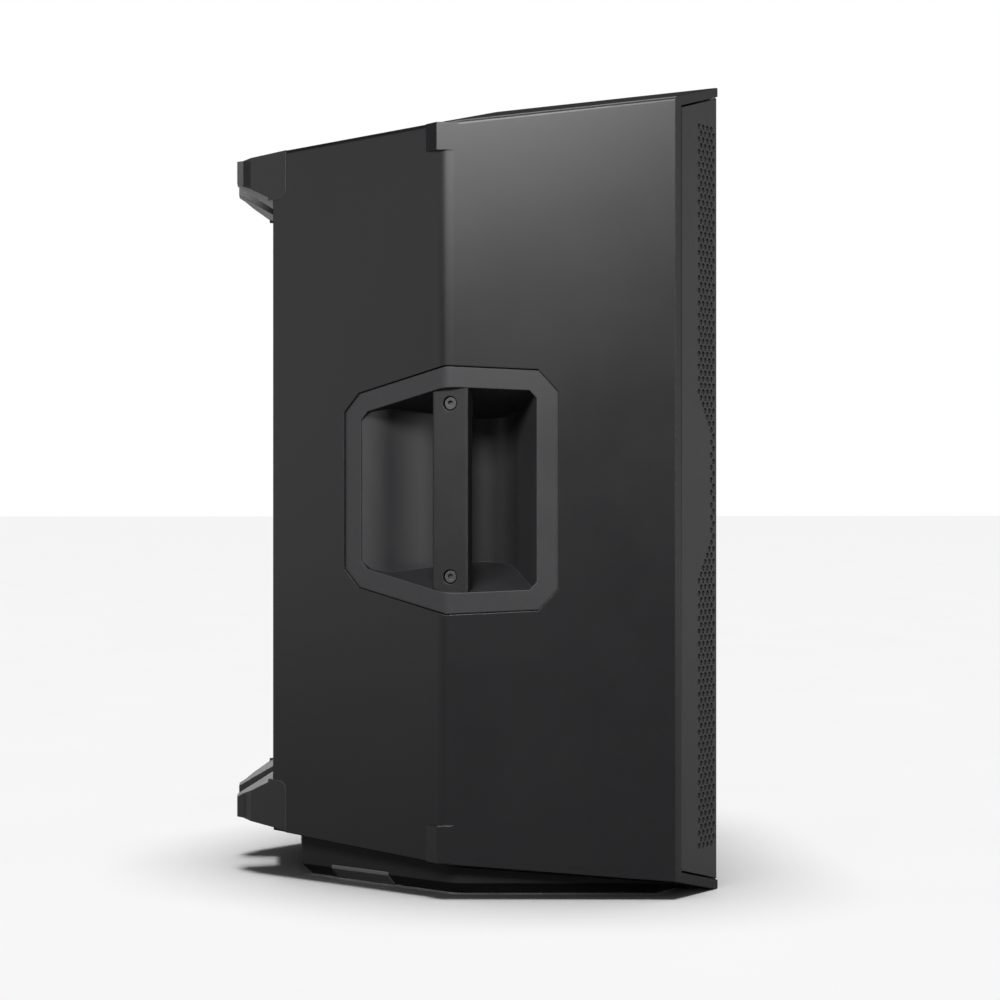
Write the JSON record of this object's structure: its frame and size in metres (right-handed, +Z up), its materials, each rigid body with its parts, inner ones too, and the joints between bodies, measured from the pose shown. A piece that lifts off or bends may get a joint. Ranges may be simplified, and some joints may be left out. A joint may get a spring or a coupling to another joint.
{
  "type": "powered loudspeaker",
  "caption": "Upright two-way powered loudspeaker with moulded cabinet, side pocket handles, folded perforated grille, corner bumpers and rear amplifier panel.",
  "frame": {"origin": "on the floor, under the middle of the whole object's box", "axes": "+Z up along the height, front grille faces -Y, amplifier panel faces +Y, mirror plane at X = 0"},
  "size_m": [0.442, 0.42, 0.7001],
  "materials": {
    "cabinet_plastic": "moulded polypropylene, fine satin texture",
    "handle_plastic": "moulded polypropylene, fine texture",
    "grip_plastic": "moulded nylon, fine texture",
    "bumper_plastic": "moulded tough plastic, satin",
    "base_plastic": "moulded polypropylene, coarse texture",
    "grille_steel": "powder coated steel, satin black",
    "foam": "open cell foam, black",
    "foot_rubber": "moulded rubber, matt",
    "black_steel": "black oxide and black paint",
    "gasket_rubber": "foam rubber and coated cloth, black",
    "cone_paper": "pressed paper pulp, black",
    "plated_steel": "zinc plated",
    "ferrite": "sintered ceramic magnet, dark grey",
    "coil_aluminium": "thin rolled metal",
    "horn_plastic": "moulded ABS, satin",
    "panel_steel": "powder coated, fine texture",
    "heat_sink_aluminium": "black anodised extrusion",
    "connector_plastic": "glass filled nylon",
    "knob_rubber": "soft touch",
    "shaft_steel": "turned",
    "display_glass": "smoked acrylic, clear gloss",
    "lens_plastic": "clear tinted lens",
    "board_resin": "solder mask over glass fibre",
    "can_aluminium": "sleeved cans",
    "transformer_steel": "varnished laminations"
  },
  "bodies": {
    "cabinet": {"amplifier_board": "board_resin", "amplifier_panel": "panel_steel", "base_plinth": "base_plastic", "board_posts": "plated_steel", "bumper_bottom_left": "bumper_plastic", "bumper_bottom_right": "bumper_plastic", "bumper_top_left": "bumper_plastic", "bumper_top_right": "bumper_plastic", "cabinet_shell": "cabinet_plastic", "capacitors": "can_aluminium", "control_pots": "connector_plastic", "display_window": "display_glass", "driver_magnet": "ferrite", "driver_plate": "plated_steel", "driver_rear_cap": "black_steel", "front_baffle": "cabinet_plastic", "grille": "grille_steel", "grille_foam": "foam", "grip_bar_left": "grip_plastic", "grip_bar_right": "grip_plastic", "grip_bolts": "black_steel", "handle_cup_left": "handle_plastic", "handle_cup_right": "handle_plastic", "heat_sink": "heat_sink_aluminium", "horn_screws": "black_steel", "horn_waveguide": "horn_plastic", "indicator_lenses": "lens_plastic", "input_jack_a": "connector_plastic", "input_jack_b": "connector_plastic", "mains_inlet": "connector_plastic", "output_jack": "connector_plastic", "panel_screws": "black_steel", "pole_socket": "plated_steel", "port_tube_left": "cabinet_plastic", "port_tube_right": "cabinet_plastic", "rigging_inserts": "plated_steel", "rubber_feet": "foot_rubber", "switch_bezel": "connector_plastic", "transformer": "transformer_steel", "woofer_back_plate": "plated_steel", "woofer_frame": "black_steel", "woofer_gasket": "gasket_rubber", "woofer_magnet": "ferrite", "woofer_screws": "black_steel", "woofer_spider": "cone_paper", "woofer_surround": "gasket_rubber", "woofer_top_plate": "plated_steel"},
    "woofer_motor": {"woofer_cone": "cone_paper", "woofer_dust_cap": "cone_paper", "woofer_voice_coil": "coil_aluminium"},
    "driver_dome": {"driver_diaphragm": "coil_aluminium"},
    "level_a": {"level_knob_a": "knob_rubber"},
    "level_b": {"level_knob_b": "knob_rubber"},
    "menu_stem": {"menu_shaft": "shaft_steel"},
    "menu_dial": {"menu_knob": "knob_rubber"},
    "latch_a": {"input_latch_a": "plated_steel"},
    "latch_b": {"input_latch_b": "plated_steel"},
    "lift": {"lift_button": "knob_rubber"},
    "link": {"link_button": "knob_rubber"},
    "power": {"power_rocker": "connector_plastic"}
  },
  "joints": [
    {"name": "woofer_travel", "type": "slide", "parent": "cabinet", "child": "woofer_motor", "axis": [0, -1, 0], "range_m": [-0.006, 0.006], "stiffness_N_per_m": 3500, "deforming": ["woofer_surround", "woofer_spider"]},
    {"name": "driver_travel", "type": "slide", "parent": "cabinet", "child": "driver_dome", "axis": [0, -1, 0], "range_m": [-0.0003, 0.0003], "stiffness_N_per_m": 3000},
    {"name": "level_a_turn", "type": "hinge", "parent": "cabinet", "child": "level_a", "pos_m": [-0.044, 0.149, 0.452], "axis": [0, 1, 0], "range_deg": [-140, 140]},
    {"name": "level_b_turn", "type": "hinge", "parent": "cabinet", "child": "level_b", "pos_m": [0.044, 0.149, 0.452], "axis": [0, 1, 0], "range_deg": [-140, 140]},
    {"name": "menu_press", "type": "slide", "parent": "cabinet", "child": "menu_stem", "axis": [0, -1, 0], "range_m": [0, 0.0006], "stiffness_N_per_m": 4000},
    {"name": "menu_turn", "type": "hinge", "parent": "menu_stem", "child": "menu_dial", "pos_m": [0, 0.149, 0.452], "axis": [0, 1, 0], "continuous": true},
    {"name": "latch_a_press", "type": "slide", "parent": "cabinet", "child": "latch_a", "axis": [0, -1, 0], "range_m": [0, 0.002], "stiffness_N_per_m": 800},
    {"name": "latch_b_press", "type": "slide", "parent": "cabinet", "child": "latch_b", "axis": [0, -1, 0], "range_m": [0, 0.002], "stiffness_N_per_m": 800},
    {"name": "lift_press", "type": "slide", "parent": "cabinet", "child": "lift", "axis": [0, -1, 0], "range_m": [0, 0.0018], "stiffness_N_per_m": 800},
    {"name": "link_press", "type": "slide", "parent": "cabinet", "child": "link", "axis": [0, -1, 0], "range_m": [0, 0.0018], "stiffness_N_per_m": 800},
    {"name": "power_rock", "type": "hinge", "parent": "cabinet", "child": "power", "pos_m": [0.031, 0.146, 0.192], "axis": [1, 0, 0], "range_deg": [0, 20]}
  ]
}
